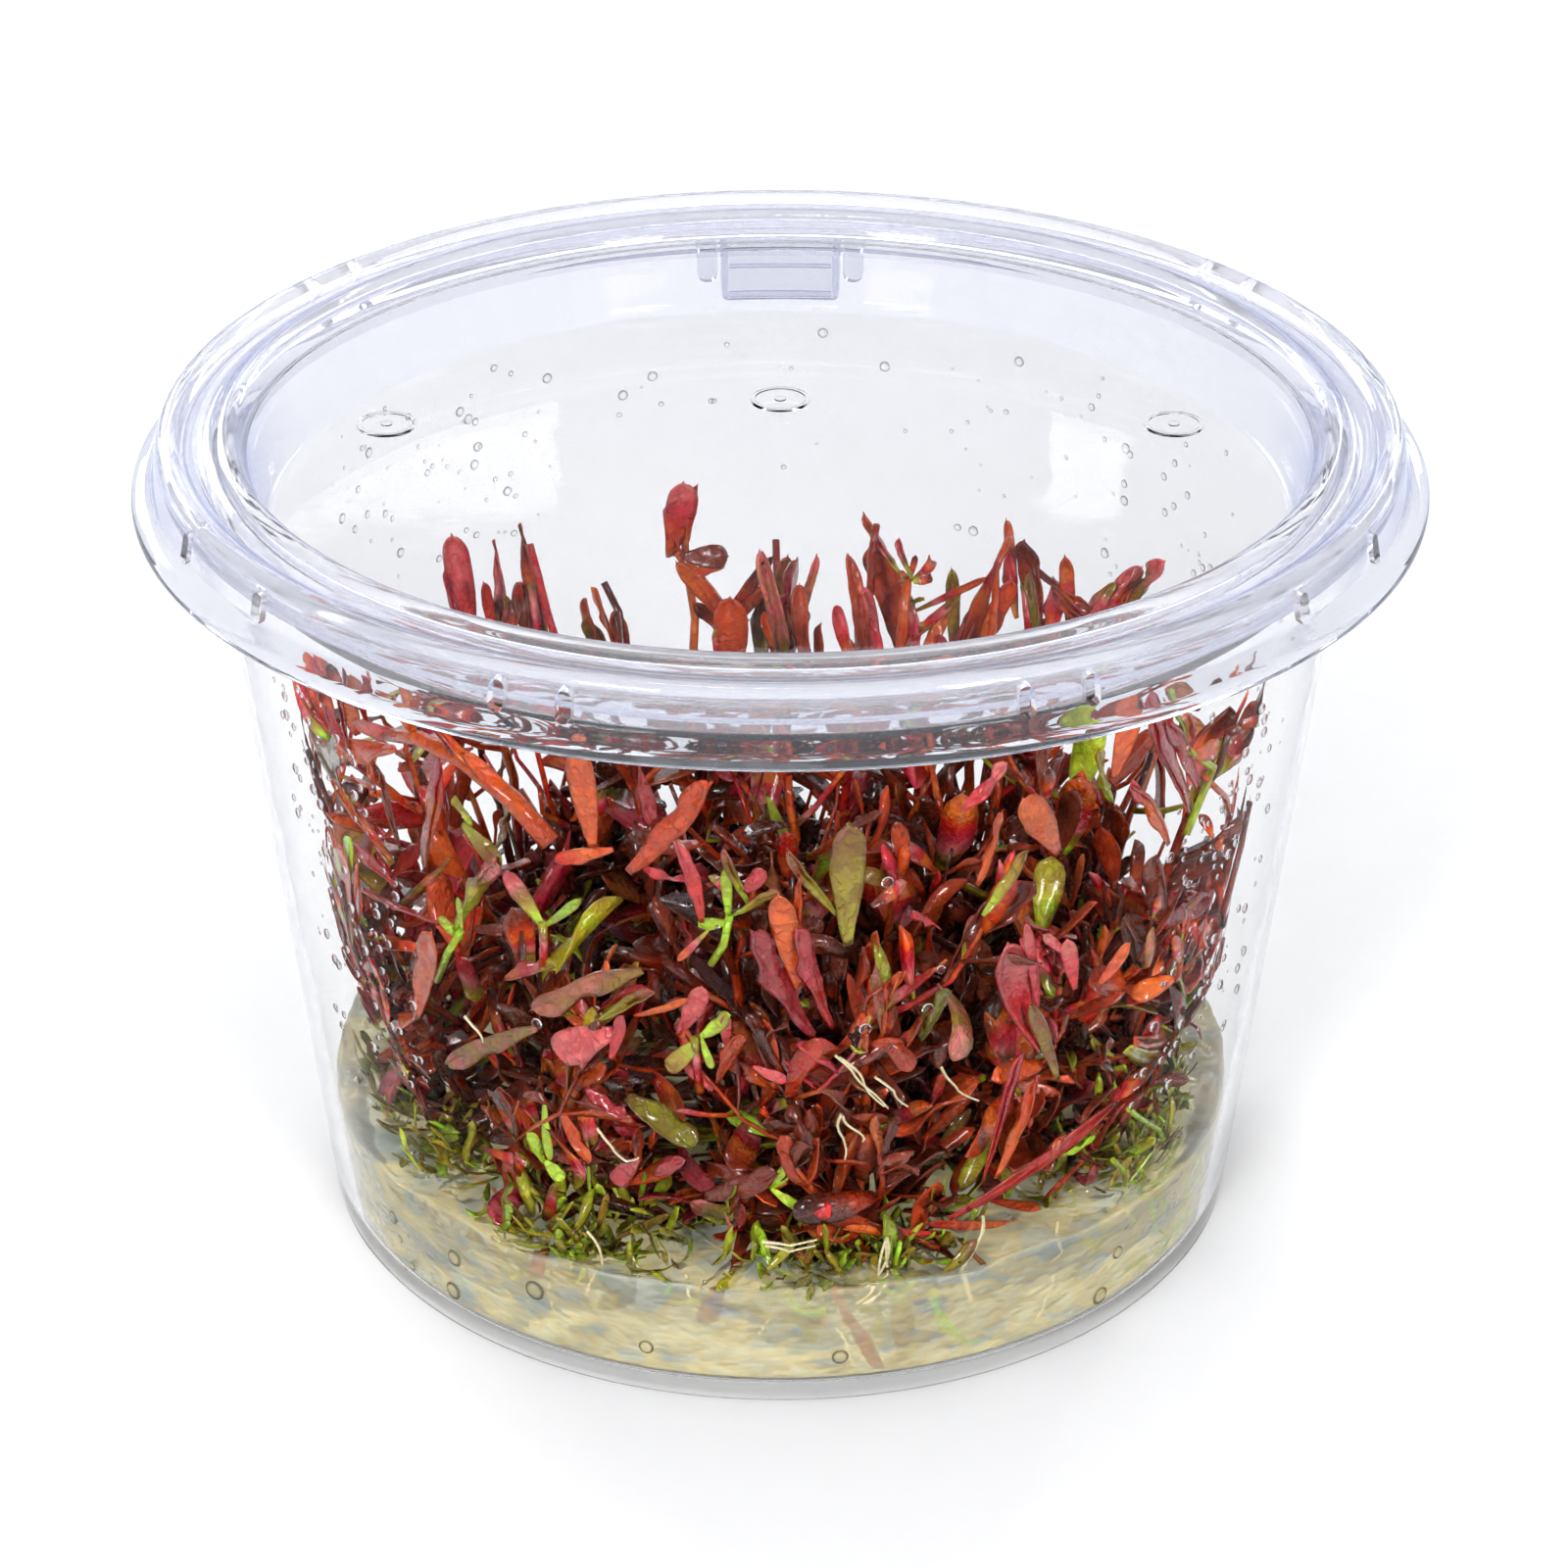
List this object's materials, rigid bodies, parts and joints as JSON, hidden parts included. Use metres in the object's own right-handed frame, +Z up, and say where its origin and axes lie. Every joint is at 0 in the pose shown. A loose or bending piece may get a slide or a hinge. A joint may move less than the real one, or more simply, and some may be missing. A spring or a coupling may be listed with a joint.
{
  "type": "tissue culture dwarf rotala in a lidded cup",
  "caption": "Clear tapered cup with a snap lid, holding red dwarf rotala plantlets rooted in a disc of pale nutrient gel.",
  "frame": {"origin": "centre of the cup's flat underside, on the surface it stands on", "axes": "+Z up along the cup's axis, -Y the front, +Y the side with the lid's thumb tab"},
  "size_m": [0.1184, 0.1184, 0.0795],
  "materials": {
    "cup_plastic": "clear moulded plastic, polished",
    "lid_plastic": "clear moulded plastic with a faint cool tint at its edges",
    "gel": "clear set nutrient gel, pale straw",
    "leaf": "glossy wet leaf and stem, brick red to magenta with olive and green young shoots"
  },
  "bodies": {
    "root": {"cup": "cup_plastic", "lid": "lid_plastic", "gel": "gel", "plantlet_01": "leaf", "plantlet_02": "leaf", "plantlet_03": "leaf", "plantlet_04": "leaf", "plantlet_05": "leaf", "plantlet_06": "leaf", "plantlet_07": "leaf", "plantlet_08": "leaf", "plantlet_09": "leaf", "plantlet_10": "leaf", "plantlet_11": "leaf", "plantlet_12": "leaf", "plantlet_13": "leaf", "plantlet_14": "leaf", "plantlet_15": "leaf", "plantlet_16": "leaf", "plantlet_17": "leaf", "plantlet_18": "leaf", "plantlet_19": "leaf", "plantlet_20": "leaf", "plantlet_21": "leaf", "plantlet_22": "leaf", "plantlet_23": "leaf", "plantlet_24": "leaf", "plantlet_25": "leaf", "plantlet_26": "leaf", "plantlet_27": "leaf"}
  },
  "joints": []
}
